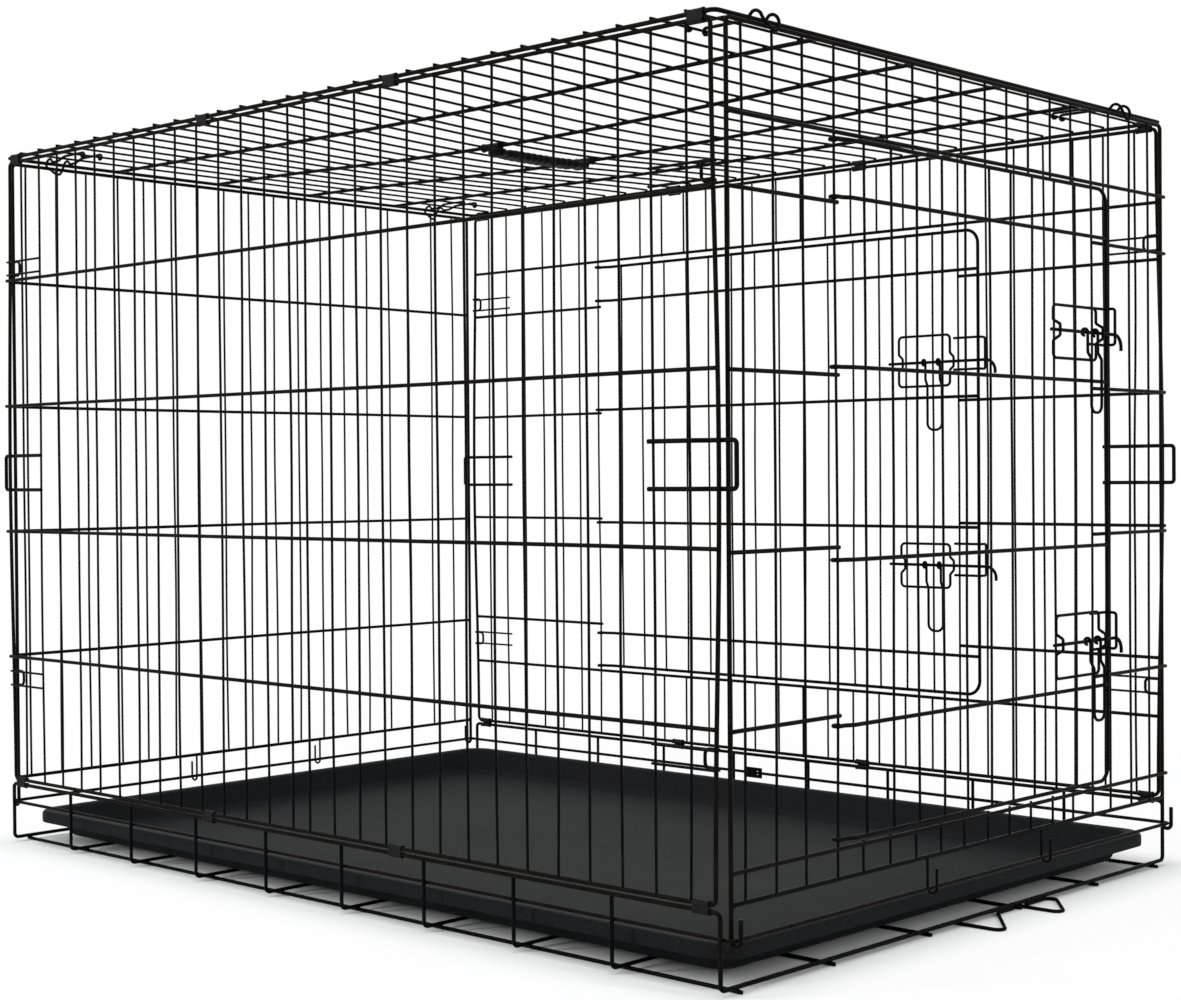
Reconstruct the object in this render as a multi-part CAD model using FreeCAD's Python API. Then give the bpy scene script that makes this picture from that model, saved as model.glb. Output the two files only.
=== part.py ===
import FreeCAD, Part
import math
import os

V = FreeCAD.Vector

# ---------------------------------------------------------------- sizes, mm
HALF_LENGTH = 531.5        # top and floor borders, middle of the wire
SIDE_HALF = 527.2          # side panel border; it folds inside the top's end wires
HALF_WIDTH = 371.0         # side panels, middle of the border wire
RIM_Z = 64.0               # floor's upper wire
LEDGE_Z = 42.0             # floor's lower wire, which the end panels hook on
SIDE_BOTTOM_Z = 69.5
SIDE_TOP_Z = 783.5
TOP_Z = 789.0

OFFSET_X = 12.22           # from the crate's middle to the middle of its outline
OFFSET_Y = 7.49
OFFSET_Z = 4.45            # heights are measured from this far above the ground

BORDER_DIA = 4.0
RAIL_DIA = 3.8
UPRIGHT_DIA = 2.5
LEG_DIA = 3.6
BRACE_DIA = 2.5
STOP_DIA = 4.0
STOP_X = 548.4             # how far the stop loops reach round the corner
STOP_LOW, STOP_HIGH = 405.2, 444.4
KEEPER_DIA = 3.0
BOLT_DIA = 3.5
WELD_SINK = 0.15           # how far crossing wires sink into each other

BUTT = 1.92                # from a border's middle to the end of a wire butted on it

SIDE_UPRIGHT_PITCH = 37.6
SIDE_UPRIGHT_GAP = 29.6
SIDE_RAILS = (212.0, 357.0, 502.0, 647.0)

FAR_HINGE_X = -289.0       # upright that carries the side door
FAR_LATCH_X = 278.0
FAR_RAIL_TOP = 705.0
FAR_RAIL_BOTTOM = 154.0
FAR_SHORT_RAILS = (217.0, 359.0, 501.0, 644.0)

END_X = 536.0              # end panel border, middle of the wire
END_HALF_WIDTH = 362.5
END_TOP_Z = 784.0
PIVOT_X = 541.0            # floor ledge's end run, the end panels' pivot
END_UPRIGHTS = (-345.0, -304.2, -263.4, -219.0, -181.8, -141.0, -100.9, -60.8, -22.3,
                18.5, 56.4, 95.0, 135.8, 175.1, 214.0, 250.4, 293.8, 332.8)
FRONT_HINGE_Y = -219.0
FRONT_LATCH_Y = 214.0
FRONT_RAIL_TOP = 708.0
FRONT_RAIL_BOTTOM = 96.0
FRONT_SHORT_RAILS = (210.0, 354.0, 501.0, 648.0)
REAR_RAILS = (212.0, 357.0, 502.0, 647.0)
HOOK_TIP = 18.0

LEG_X = (59.0, 177.0, 295.0, 413.0)
RUNNER_Y = (-350.0, -224.0, -77.0, 77.0, 224.0, 350.0)
RUNNER_END = HALF_LENGTH + 5.5
LEG_Z = 0.8
LEDGE_Y = HALF_WIDTH - LEG_DIA / 2 - BORDER_DIA / 2 + WELD_SINK
RUNNER_Z = LEG_Z - LEG_DIA + WELD_SINK
CORNER_WIRE_Z = RUNNER_Z + LEG_DIA / 2 + BORDER_DIA / 2 - WELD_SINK
CORNER_SEAM_Z = 14.0       # where a corner leg meets the wire across the floor
LOOP_DIA = 3.5

CLIP_X = (-512.7, -152.0, 140.0, 512.7)
CLIP_LENGTH = 17.0
CLIP_SHEET = 1.2
PIVOT_GAP = 0.08           # running gap of a clip on the wire it turns on
OPEN_GAP = 0.3             # gap of the top clips on the far side

TOP_LONG_Y = (-222.0, -74.0, 74.0, 222.0)
HANDLE_X = -31.9           # midway between two cross wires
HANDLE_HALF = 73.0
SLEEVE_HALF = 14.0
SLEEVE_RADIUS = 5.4
STRAP_THICK = 8.6


# ---------------------------------------------------------------- building blocks
def rod(start, end, dia):
    """Straight wire between two points."""
    run = V(*end) - V(*start)
    return Part.makeCylinder(dia / 2, run.Length, V(*start), run)


def rounded_edges(points, bends, closed=False):
    """Edges of a path through the points; each corner is rounded to its bend radius."""
    pts = [V(*p) for p in points]
    if closed:
        middle = (pts[0] + pts[-1]) * 0.5
        pts = [middle] + pts + [middle]
    if not isinstance(bends, (list, tuple)):
        bends = [bends] * len(pts)
    edges = []
    last = pts[0]
    for before, here, after, bend in zip(pts, pts[1:], pts[2:], bends):
        to_before = (before - here).normalize()
        to_after = (after - here).normalize()
        half = to_before.getAngle(to_after) / 2
        reach = bend / math.tan(half)
        inward = (to_before + to_after).normalize()
        first = here + to_before * reach
        end = here + to_after * reach
        nearest = here + inward * (bend / math.sin(half) - bend)
        if (first - last).Length > 1e-6:
            edges.append(Part.makeLine(last, first))
        edges.append(Part.Arc(first, nearest, end).toShape())
        last = end
    edges.append(Part.makeLine(last, pts[-1]))
    return edges


def eye_edge(centre, along, side, radius, leaving=True):
    """Three-quarter turn round a centre; the wire leaves along one way, off to one side."""
    c, e1, e2 = V(*centre), V(*along), V(*side)
    slant = math.sqrt(0.5)
    tip = c + e1 * radius
    back = c - (e1 + e2) * (slant * radius)
    leave = c + e2 * radius
    arc = Part.Arc(tip, back, leave) if leaving else Part.Arc(leave, back, tip)
    return arc.toShape()


def swept(edges, dia):
    """Round wire along a smooth run of edges."""
    first = edges[0]
    start = first.valueAt(first.FirstParameter)
    section = Part.Face(Part.Wire(Part.makeCircle(dia / 2, start, first.tangentAt(first.FirstParameter))))
    return Part.Wire(edges).makePipe(section).Solids[0]


def bent(points, dia, bends, closed=False):
    """Bent wire of round section along a rounded path."""
    return swept(rounded_edges(points, bends, closed), dia)


def box(x0, x1, y0, y1, z0, z1):
    return Part.makeBox(x1 - x0, y1 - y0, z1 - z0, V(x0, y0, z0))


def save(name, solids):
    """Write one named piece, or one group of like pieces."""
    for solid in solids:
        if not solid.isValid() or solid.Volume <= 0:
            raise ValueError("bad solid in " + name)
    shape = solids[0] if len(solids) == 1 else Part.makeCompound(solids)
    shape = shape.copy()
    shape.translate(V(-OFFSET_X, -OFFSET_Y, OFFSET_Z))
    shape.exportStep("parts/" + name + ".step")


# ---------------------------------------------------------------- floor
def floor_rim():
    """Long upper wires, turned down at both ends as the corner legs."""
    x = HALF_LENGTH
    foot = CORNER_SEAM_Z
    wires = []
    for y in (-HALF_WIDTH, HALF_WIDTH):
        points = [(-x, y, foot), (-x, y, RIM_Z), (x, y, RIM_Z), (x, y, foot)]
        wires.append(bent(points, BORDER_DIA, 5))
    return wires


def floor_ledge():
    """Lower wire loop inside the legs; the end panels hang on its end runs."""
    x = PIVOT_X
    y = LEDGE_Y
    z = LEDGE_Z
    return bent([(-x, -y, z), (x, -y, z), (x, y, z), (-x, y, z)], LEG_DIA, 4, True)


def floor_legs():
    """Wires that cross the floor and turn up at both ends as legs."""
    top = RIM_Z - BORDER_DIA / 2 + WELD_SINK
    y = HALF_WIDTH
    legs = []
    for size in LEG_X:
        for x in (-size, size):
            points = [(x, -y, top), (x, -y, LEG_Z), (x, y, LEG_Z), (x, y, top)]
            legs.append(bent(points, LEG_DIA, 5))
    return legs


def floor_end_wires():
    """Wires across the floor at both ends, turned up into the corner legs."""
    y = HALF_WIDTH
    top = CORNER_SEAM_Z + WELD_SINK
    wires = []
    for x in (-HALF_LENGTH, HALF_LENGTH):
        points = [(x, -y, top), (x, -y, CORNER_WIRE_Z), (x, y, CORNER_WIRE_Z), (x, y, top)]
        wires.append(bent(points, BORDER_DIA, 5))
    return wires


def floor_runners():
    """Long wires under the cross wires; the crate stands on them."""
    end = RUNNER_END
    return [rod((-end, y, RUNNER_Z), (end, y, RUNNER_Z), LEG_DIA) for y in RUNNER_Y]


def floor_front_loops():
    """Two loops of one wire each that stand out in front, with their tails along the end wire."""
    inner, tip, back = 520.0, 580.0, HALF_LENGTH
    z = RUNNER_Z + (LOOP_DIA - LEG_DIA) / 2
    loops = []
    for y, bend_y, tail_y in ((-20.0, 43.0, 70.0), (84.0, 147.0, 94.0)):
        points = [(inner, y, z), (tip, y, z), (back, bend_y, z), (back, tail_y, z)]
        loops.append(bent(points, LOOP_DIA, [7, 7, 5, 5]))
    return loops


def pan_stop():
    """Punched tab on the floor's lower wire."""
    inner = LEDGE_Y - LEG_DIA / 2 + 0.02
    plate = box(-34, -9, inner - 0.8, inner, 36, 49)
    hole = Part.makeCylinder(2.5, 4, V(-16, inner - 3, 42.5), V(0, 1, 0))
    return plate.cut(hole)


# ---------------------------------------------------------------- side panels
def side_border(side):
    x, y = SIDE_HALF, side * HALF_WIDTH
    points = [(-x, y, SIDE_BOTTOM_Z), (x, y, SIDE_BOTTOM_Z), (x, y, SIDE_TOP_Z), (-x, y, SIDE_TOP_Z)]
    return bent(points, BORDER_DIA, 6, True)


def near_upright_positions():
    first = HALF_LENGTH - SIDE_UPRIGHT_GAP
    places = [first - SIDE_UPRIGHT_PITCH * k for k in range(14)]
    return sorted(places + [-x for x in places])


def far_upright_positions():
    left = [FAR_HINGE_X - 35.3 * k for k in range(1, 7)]
    middle = [FAR_HINGE_X + 37.8 * k for k in range(16)]
    right = [FAR_LATCH_X + 37.2 * k for k in range(1, 7)]
    return sorted(left + middle + right)


SIDE_RAIL_Y = HALF_WIDTH + BORDER_DIA / 2 + RAIL_DIA / 2 - 0.1
SIDE_UPRIGHT_Y = SIDE_RAIL_Y - RAIL_DIA / 2 - UPRIGHT_DIA / 2 + WELD_SINK
SIDE_FOOT = SIDE_BOTTOM_Z + BUTT
SIDE_HEAD = SIDE_TOP_Z - BUTT


def near_uprights():
    y = -SIDE_UPRIGHT_Y
    return [rod((x, y, SIDE_FOOT), (x, y, SIDE_HEAD), UPRIGHT_DIA) for x in near_upright_positions()]


def far_uprights():
    """Full-height uprights beside the doorway, short ones above and below it."""
    y = SIDE_UPRIGHT_Y
    rods = []
    for x in far_upright_positions():
        if FAR_HINGE_X + 1 < x < FAR_LATCH_X - 1:
            rods.append(rod((x, y, SIDE_FOOT), (x, y, FAR_RAIL_BOTTOM + 2.5), UPRIGHT_DIA))
            rods.append(rod((x, y, FAR_RAIL_TOP - 2.5), (x, y, SIDE_HEAD), UPRIGHT_DIA))
        else:
            rods.append(rod((x, y, SIDE_FOOT), (x, y, SIDE_HEAD), UPRIGHT_DIA))
    return rods


SIDE_RAIL_END = SIDE_HALF + BORDER_DIA / 2


def near_rails():
    y, x = -SIDE_RAIL_Y, SIDE_RAIL_END
    return [rod((-x, y, z), (x, y, z), RAIL_DIA) for z in SIDE_RAILS]


def far_rails():
    y, x = SIDE_RAIL_Y, SIDE_RAIL_END
    rails = [rod((-x, y, z), (x, y, z), RAIL_DIA) for z in (FAR_RAIL_BOTTOM, FAR_RAIL_TOP)]
    for z in FAR_SHORT_RAILS:
        rails.append(rod((-x, y, z), (FAR_HINGE_X + 1, y, z), RAIL_DIA))
        rails.append(rod((FAR_LATCH_X - 1, y, z), (x, y, z), RAIL_DIA))
    return rails


def side_braces(side):
    """Short pairs of wires between the outermost upright and the border."""
    y = side * (HALF_WIDTH + BORDER_DIA / 2 + BRACE_DIA / 2 - 0.1)
    rods = []
    for end in (-1, 1):
        for z in (179.0, 195.0, 653.5, 668.5):
            rods.append(rod((end * 462, y, z), (end * SIDE_RAIL_END, y, z), BRACE_DIA))
    return rods


def side_c_loops(side):
    """Small loops inside the panel at each pair of braces."""
    y = side * (HALF_WIDTH - BORDER_DIA / 2 - KEEPER_DIA / 2 + WELD_SINK)
    loops = []
    for end in (-1, 1):
        for z in (179.0, 653.0):
            points = [(end * SIDE_RAIL_END, y, z), (end * 514, y, z),
                      (end * 514, y, z + 16), (end * SIDE_RAIL_END, y, z + 16)]
            loops.append(bent(points, KEEPER_DIA, 5))
    return loops


STOP_OUTER_Y = SIDE_UPRIGHT_Y + UPRIGHT_DIA / 2 + STOP_DIA / 2 - WELD_SINK
STOP_INNER_Y = HALF_WIDTH - BORDER_DIA / 2 - STOP_DIA / 2 + 0.1


def side_stops(side):
    """Loops that pass between the borders and stand out round the corner."""
    outer = side * STOP_OUTER_Y
    inner = side * STOP_INNER_Y
    stops = []
    for end in (-1, 1):
        low = [(end * 461, outer, STOP_LOW), (end * 511, outer, STOP_LOW),
               (end * 521, inner, STOP_LOW), (end * STOP_X, inner, STOP_LOW)]
        high = [(x, y, STOP_HIGH) for x, y, z in reversed(low)]
        stops.append(bent(low + high, STOP_DIA, 3.5))
    return stops


def clip(x, y, fixed_z, turning_z, gap):
    """Sheet clip that grips one long wire and turns on the other."""
    outer_r = BORDER_DIA / 2 + gap + CLIP_SHEET
    x0 = x - CLIP_LENGTH / 2
    along = V(1, 0, 0)
    low, high = min(fixed_z, turning_z), max(fixed_z, turning_z)
    body = box(x0, x0 + CLIP_LENGTH, y - outer_r, y + outer_r, low, high)
    body = body.fuse(Part.makeCylinder(outer_r, CLIP_LENGTH, V(x0, y, low), along))
    body = body.fuse(Part.makeCylinder(outer_r, CLIP_LENGTH, V(x0, y, high), along))
    slot = box(x0 - 1, x0 + CLIP_LENGTH + 1, y - 1.5, y + 1.5, low, high)
    fixed = Part.makeCylinder(BORDER_DIA / 2 - 0.04, CLIP_LENGTH + 2, V(x0 - 1, y, fixed_z), along)
    turning = Part.makeCylinder(BORDER_DIA / 2 + gap, CLIP_LENGTH + 2, V(x0 - 1, y, turning_z), along)
    return body.cut(slot).cut(fixed).cut(turning).removeSplitter().Solids[0]


def bottom_clips(side):
    return [clip(x, side * HALF_WIDTH, SIDE_BOTTOM_Z, RIM_Z, PIVOT_GAP) for x in CLIP_X]


def top_clips(side):
    gap = PIVOT_GAP if side < 0 else OPEN_GAP
    return [clip(x, side * HALF_WIDTH, SIDE_TOP_Z, TOP_Z, gap) for x in CLIP_X]


# ---------------------------------------------------------------- top panel
TOP_CROSS_Z = TOP_Z + BORDER_DIA / 2 + UPRIGHT_DIA / 2 - WELD_SINK


def top_border():
    x, y = HALF_LENGTH, HALF_WIDTH
    return bent([(-x, -y, TOP_Z), (x, -y, TOP_Z), (x, y, TOP_Z), (-x, y, TOP_Z)], BORDER_DIA, 6, True)


def top_cross_wires():
    y, z = HALF_WIDTH + 2, TOP_CROSS_Z
    return [rod((x, -y, z), (x, y, z), UPRIGHT_DIA) for x in near_upright_positions()]


def top_long_wires():
    x = HALF_LENGTH - BORDER_DIA / 2 + WELD_SINK
    return [rod((-x, y, TOP_Z), (x, y, TOP_Z), BORDER_DIA) for y in TOP_LONG_Y]


def handle_strap():
    """Moulded strap close under the two middle wires, thinner at its necks."""
    stations = ((-HANDLE_HALF, 26, 0.8, 785.4), (-60, 23, 0.75, 785.0), (-44, 25, 1.0, 784.4),
                (0, 24, 1.0, 783.6),
                (44, 25, 1.0, 784.4), (60, 23, 0.75, 785.0), (HANDLE_HALF, 26, 0.8, 785.4))
    sections = []
    for y, width, thickness, z in stations:
        half = width / 2
        rise = STRAP_THICK * thickness / 2
        corners = [(-half, -rise), (half, -rise), (half, rise), (-half, rise)]
        points = [V(HANDLE_X + dx, y, z + dz) for dx, dz in corners]
        sections.append(Part.makePolygon(points + [points[0]]))
    strap = Part.makeLoft(sections, True, True)
    x, half = HANDLE_X - SLEEVE_HALF - 1, 2 * SLEEVE_HALF + 2
    for side in (-1, 1):
        place = V(x, side * TOP_LONG_Y[2], TOP_Z)
        strap = strap.cut(Part.makeCylinder(SLEEVE_RADIUS - 0.01, half, place, V(1, 0, 0)))
    return max(strap.Solids, key=lambda solid: solid.Volume)


def handle_grips():
    """Sleeves at the strap's ends, snapped over the two middle wires."""
    grips = []
    for side in (-1, 1):
        place = V(HANDLE_X - SLEEVE_HALF, side * TOP_LONG_Y[2], TOP_Z)
        sleeve = Part.makeCylinder(SLEEVE_RADIUS, 2 * SLEEVE_HALF, place, V(1, 0, 0))
        bore = Part.makeCylinder(BORDER_DIA / 2 - 0.04, 2 * SLEEVE_HALF, place, V(1, 0, 0))
        grips.append(sleeve.cut(bore))
    return grips


# ---------------------------------------------------------------- top hooks
HOOK_AXIS_X = HALF_LENGTH - SIDE_UPRIGHT_GAP - SIDE_UPRIGHT_PITCH
HOOK_TIP_X = 548.6
HOOK_TIP_Z = 776.0
EYE_RADIUS = UPRIGHT_DIA / 2 + PIVOT_GAP + KEEPER_DIA / 2


def top_hook(end, y0, y1):
    """Wire hook: two eyes round a cross wire, two arms and a drop over the end wire."""
    x, z = end * HOOK_AXIS_X, TOP_CROSS_Z
    tip = end * HOOK_TIP_X
    along = V(tip - x, 0, 0.8).normalize()
    rise = V(-along.z * end, 0, abs(along.x))
    reach = along * ((tip - x) / along.x)
    first = V(x, y0, z) + rise * EYE_RADIUS
    second = V(x, y1, z) + rise * EYE_RADIUS
    points = [first, first + reach, (tip, y0, HOOK_TIP_Z),
              (tip, y1, HOOK_TIP_Z), second + reach, second]
    edges = [eye_edge((x, y0, z), along, rise, EYE_RADIUS)]
    edges += rounded_edges(points, 5)
    edges.append(eye_edge((x, y1, z), along, rise, EYE_RADIUS, False))
    return swept(edges, KEEPER_DIA)


# ---------------------------------------------------------------- end panels
END_RAIL_X = END_X + BORDER_DIA / 2 + RAIL_DIA / 2 - 0.1
END_UPRIGHT_X = END_RAIL_X - RAIL_DIA / 2 - UPRIGHT_DIA / 2 + WELD_SINK
END_FOOT = SIDE_BOTTOM_Z + BUTT
END_HEAD = END_TOP_Z - BUTT
FRONT_HOOK_Y = (-82.0, 115.5)
REAR_HOOK_Y = (-111.0, 87.0)


def hook_points(end, y, top):
    """Wire that turns under the floor's end run and up again outside it."""
    radius = PIVOT_X - END_X
    low = LEDGE_Z - radius
    outer = END_X + 2 * radius
    return [(end * END_X, y, top), (end * END_X, y, low), (end * outer, y, low),
            (end * outer, y, LEDGE_Z + HOOK_TIP)]


def end_border(end):
    """Border wire: over the top and down both sides, each foot a hook."""
    radius = PIVOT_X - END_X - 0.001
    first = hook_points(end, -END_HALF_WIDTH, END_TOP_Z)
    second = hook_points(end, END_HALF_WIDTH, END_TOP_Z)
    return bent(first[::-1] + second, BORDER_DIA, radius)


def end_foot(end):
    """Bottom wire between the border's two uprights."""
    y = END_HALF_WIDTH - BORDER_DIA / 2 + WELD_SINK
    return rod((end * END_X, -y, SIDE_BOTTOM_Z), (end * END_X, y, SIDE_BOTTOM_Z), BORDER_DIA)


def end_hooks(end, places):
    """Short hooked wires under the bottom wire."""
    radius = PIVOT_X - END_X - 0.001
    top = SIDE_BOTTOM_Z - BORDER_DIA / 2 + WELD_SINK / 2
    return [bent(hook_points(end, y, top), UPRIGHT_DIA, radius) for y in places]


def front_uprights():
    """Full-height uprights beside the doorway, short ones above and below it."""
    x = END_UPRIGHT_X
    rods = []
    for y in END_UPRIGHTS:
        if FRONT_HINGE_Y < y < FRONT_LATCH_Y:
            rods.append(rod((x, y, END_FOOT), (x, y, FRONT_RAIL_BOTTOM + 2.5), UPRIGHT_DIA))
            rods.append(rod((x, y, FRONT_RAIL_TOP - 2.5), (x, y, END_HEAD), UPRIGHT_DIA))
        else:
            rods.append(rod((x, y, END_FOOT), (x, y, END_HEAD), UPRIGHT_DIA))
    return rods


def rear_uprights():
    x = -END_UPRIGHT_X
    return [rod((x, y, END_FOOT), (x, y, END_HEAD), UPRIGHT_DIA) for y in END_UPRIGHTS]


END_RAIL_END = END_HALF_WIDTH + BORDER_DIA / 2


def front_rails():
    x, y = END_RAIL_X, END_RAIL_END
    rails = [rod((x, -y, z), (x, y, z), RAIL_DIA) for z in (FRONT_RAIL_BOTTOM, FRONT_RAIL_TOP)]
    for z in FRONT_SHORT_RAILS:
        rails.append(rod((x, -y, z), (x, FRONT_HINGE_Y + 1, z), RAIL_DIA))
        rails.append(rod((x, FRONT_LATCH_Y - 1, z), (x, y, z), RAIL_DIA))
    return rails


def rear_rails():
    x, y = -END_RAIL_X, END_RAIL_END
    return [rod((x, -y, z), (x, y, z), RAIL_DIA) for z in REAR_RAILS]


# ---------------------------------------------------------------- doors and latches
# A door is set out flat: u along its panel from hinge to latch, w outwards from the
# middle of the panel's rails, z up.
HINGE_W = END_UPRIGHT_X - END_RAIL_X
FRAME_W = 4.3
DOOR_UPRIGHT_W = FRAME_W - RAIL_DIA / 2 - UPRIGHT_DIA / 2 + WELD_SINK
DOOR_EYE = UPRIGHT_DIA / 2 + PIVOT_GAP + RAIL_DIA / 2
KEEPER_W = DOOR_UPRIGHT_W + UPRIGHT_DIA / 2 + KEEPER_DIA / 2 - WELD_SINK
BOLT_W = FRAME_W + RAIL_DIA / 2 + BOLT_DIA / 2 + 0.3
BUMP_W = BOLT_W + BOLT_DIA / 2 + KEEPER_DIA / 2 + 0.1
LOOP_EYE = BOLT_DIA / 2 + PIVOT_GAP + KEEPER_DIA / 2
LOOP_W = BOLT_W + LOOP_EYE
LOOP_OUT_W = LOOP_W + 4.0
STAPLE_W = HINGE_W + UPRIGHT_DIA / 2 + KEEPER_DIA / 2 - WELD_SINK

FRONT_DOOR = {
    "end": True, "hinge": FRONT_HINGE_Y, "latch": 232.0, "foot": 104.0, "head": 702.0,
    "rails": (201.0, 343.0, 508.0, 653.0),
    "uprights": END_UPRIGHTS[4:14],
}
SIDE_DOOR = {
    "end": False, "hinge": FAR_HINGE_X, "latch": 300.0, "foot": 161.0, "head": 697.0,
    "rails": (205.0, 354.0, 505.5, 652.0),
    "uprights": tuple(FAR_HINGE_X + 37.8 * k for k in range(1, 15)),
}
FRONT_LATCHES = (
    {"keeper": (129.0, 212.0, 529.0, 581.0), "bolt": (118.0, 242.0, 556.0),
     "loop": (192.0, 476.0), "staple": (206.0, 236.6, 545.5, 582.0)},
    {"keeper": (132.0, 215.0, 214.0, 276.0), "bolt": (121.0, 240.0, 248.0),
     "loop": (195.0, 169.0), "staple": (206.0, 236.6, 237.5, 274.0)},
)
SIDE_LATCHES = (
    {"keeper": (191.0, 262.0, 519.0, 578.0), "bolt": (174.0, 307.0, 547.0),
     "loop": (233.0, 468.0), "staple": (270.0, 304.6, 536.5, 573.0)},
    {"keeper": (193.0, 261.0, 283.0, 334.0), "bolt": (174.0, 307.0, 309.0),
     "loop": (233.0, 231.0), "staple": (270.0, 304.6, 298.5, 335.0)},
)


def at(door, u, w, z):
    """Point of a door's drawing in the crate."""
    return V(END_RAIL_X + w, u, z) if door["end"] else V(u, SIDE_RAIL_Y + w, z)


def way(door, u, w, z):
    """Direction of a door's drawing in the crate."""
    return V(w, u, z) if door["end"] else V(u, w, z)


def door_eye(door, z, leaving=True):
    centre = at(door, door["hinge"], HINGE_W, z)
    return eye_edge(centre, way(door, 1, 0, 0), way(door, 0, 1, 0), DOOR_EYE, leaving)


def door_start(door, z):
    """First points of a door wire, from its eye out to the door's plane."""
    u = door["hinge"]
    return [at(door, u, HINGE_W + DOOR_EYE, z), at(door, u + 7, HINGE_W + DOOR_EYE, z),
            at(door, u + 15, FRAME_W, z)]


def door_frame(door):
    """Three-sided frame; both ends are curled round the hinge upright."""
    low = door_start(door, door["foot"]) + [at(door, door["latch"], FRAME_W, door["foot"])]
    high = door_start(door, door["head"]) + [at(door, door["latch"], FRAME_W, door["head"])]
    bends = [4, 4, 16, 16, 4, 4]
    edges = [door_eye(door, door["foot"])]
    edges += rounded_edges(low + high[::-1], bends)
    edges.append(door_eye(door, door["head"], False))
    return swept(edges, RAIL_DIA)


def door_rails(door):
    """Cross wires of the door, each curled round the hinge upright."""
    end = door["latch"] - RAIL_DIA / 2 + WELD_SINK
    rails = []
    for z in door["rails"]:
        edges = [door_eye(door, z)]
        edges += rounded_edges(door_start(door, z) + [at(door, end, FRAME_W, z)], 4)
        rails.append(swept(edges, RAIL_DIA))
    return rails


def door_uprights(door):
    w = DOOR_UPRIGHT_W
    low, high = door["foot"] - 1.5, door["head"] + 1.5
    return [rod(at(door, u, w, low), at(door, u, w, high), UPRIGHT_DIA) for u in door["uprights"]]


def keeper(door, latch):
    """Flat wire loop on the door; both short sides are bumped out over the bolt."""
    u0, u1, low, high = latch["keeper"]
    z = latch["bolt"][2]
    profile = [(KEEPER_W, z - 10), (BUMP_W, z - 5.5), (BUMP_W, z + 5.5), (KEEPER_W, z + 10)]
    middle = at(door, (u0 + u1) / 2, KEEPER_W, low)
    points = [middle, at(door, u1, KEEPER_W, low)]
    points += [at(door, u1, w, height) for w, height in profile]
    points += [at(door, u1, KEEPER_W, high), at(door, u0, KEEPER_W, high)]
    points += [at(door, u0, w, height) for w, height in reversed(profile)]
    points += [at(door, u0, KEEPER_W, low), middle]
    bends = [5] + [2.5] * 4 + [5, 5] + [2.5] * 4 + [5]
    return swept(rounded_edges(points, bends), KEEPER_DIA)


def bolt(door, latch):
    """Sliding rod with its end turned down."""
    u0, u1, z = latch["bolt"]
    radius = 13.0
    start = at(door, u0, BOLT_W, z)
    bend = at(door, u1, BOLT_W, z)
    slant = math.sqrt(0.5) * radius
    middle = at(door, u1 + slant, BOLT_W, z - radius + slant)
    end = at(door, u1 + radius, BOLT_W, z - radius)
    tip = at(door, u1 + radius, BOLT_W, z - radius - 3)
    return swept([Part.makeLine(start, bend), Part.Arc(bend, middle, end).toShape(),
                  Part.makeLine(end, tip)], BOLT_DIA)


def bolt_loop(door, latch):
    """Handle loop of a bolt: both legs are curled round the rod."""
    u, low = latch["loop"]
    z = latch["bolt"][2]
    down, out = way(door, 0, 0, -1), way(door, 0, 1, 0)
    left, right = u - 10, u + 10
    points = []
    for side in (left, right):
        leg = [at(door, side, LOOP_W, z), at(door, side, LOOP_W, z - 20),
               at(door, side, LOOP_OUT_W, z - 27), at(door, side, LOOP_OUT_W, low)]
        points.append(leg)
    edges = [eye_edge(at(door, left, BOLT_W, z), down, out, LOOP_EYE)]
    edges += rounded_edges(points[0] + points[1][::-1], [4, 4, 8, 8, 4, 4])
    edges.append(eye_edge(at(door, right, BOLT_W, z), down, out, LOOP_EYE, False))
    return swept(edges, KEEPER_DIA)


def staple(door, latch):
    """Wire loop on the panel that stands out over the bolt beside the door."""
    u0, u1, low, high = latch["staple"]
    points = [at(door, u0, STAPLE_W, low), at(door, u1, STAPLE_W, low), at(door, u1, BUMP_W, low),
              at(door, u1, BUMP_W, high), at(door, u1, STAPLE_W, high), at(door, u0, STAPLE_W, high)]
    return bent(points, KEEPER_DIA, 3)


# ---------------------------------------------------------------- pan
PAN_X0, PAN_X1 = -518.0, 527.0
PAN_HALF = 356.0
PAN_BASE = CORNER_WIRE_Z + BORDER_DIA / 2 + 0.1    # clears the end wires as it slides
PAN_TOP = 33.5
PAN_SHEET = 2.0
PAN_LIP_DROP = 13.0
WALL_BASE_INSET, WALL_TOP_INSET = 24.0, 15.0


def rounded_outline(inset, z, radius):
    x0, x1, y = PAN_X0 + inset, PAN_X1 - inset, PAN_HALF - inset
    points = [(x0, -y, z), (x1, -y, z), (x1, y, z), (x0, y, z)]
    return Part.Wire(rounded_edges(points, radius, True))


def pan():
    """Tray with sloped walls and a turned-down lip."""
    sheet = PAN_SHEET
    low, high = WALL_BASE_INSET, WALL_TOP_INSET
    outer = Part.makeLoft([rounded_outline(low, PAN_BASE, 18), rounded_outline(high, PAN_TOP, 24)], True)
    inner = Part.makeLoft([rounded_outline(low + sheet, PAN_BASE + sheet, 16),
                           rounded_outline(high + sheet, PAN_TOP + 0.5, 22)], True)
    lip_foot = PAN_TOP - PAN_LIP_DROP
    lip_outer = Part.Face(rounded_outline(0, lip_foot, 30)).extrude(V(0, 0, PAN_LIP_DROP))
    lip_inner = Part.Face(rounded_outline(sheet, lip_foot - 1, 28))
    lip = lip_outer.cut(lip_inner.extrude(V(0, 0, PAN_LIP_DROP + 1 - sheet)))
    return lip.fuse(outer).cut(inner).removeSplitter().Solids[0]


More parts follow.
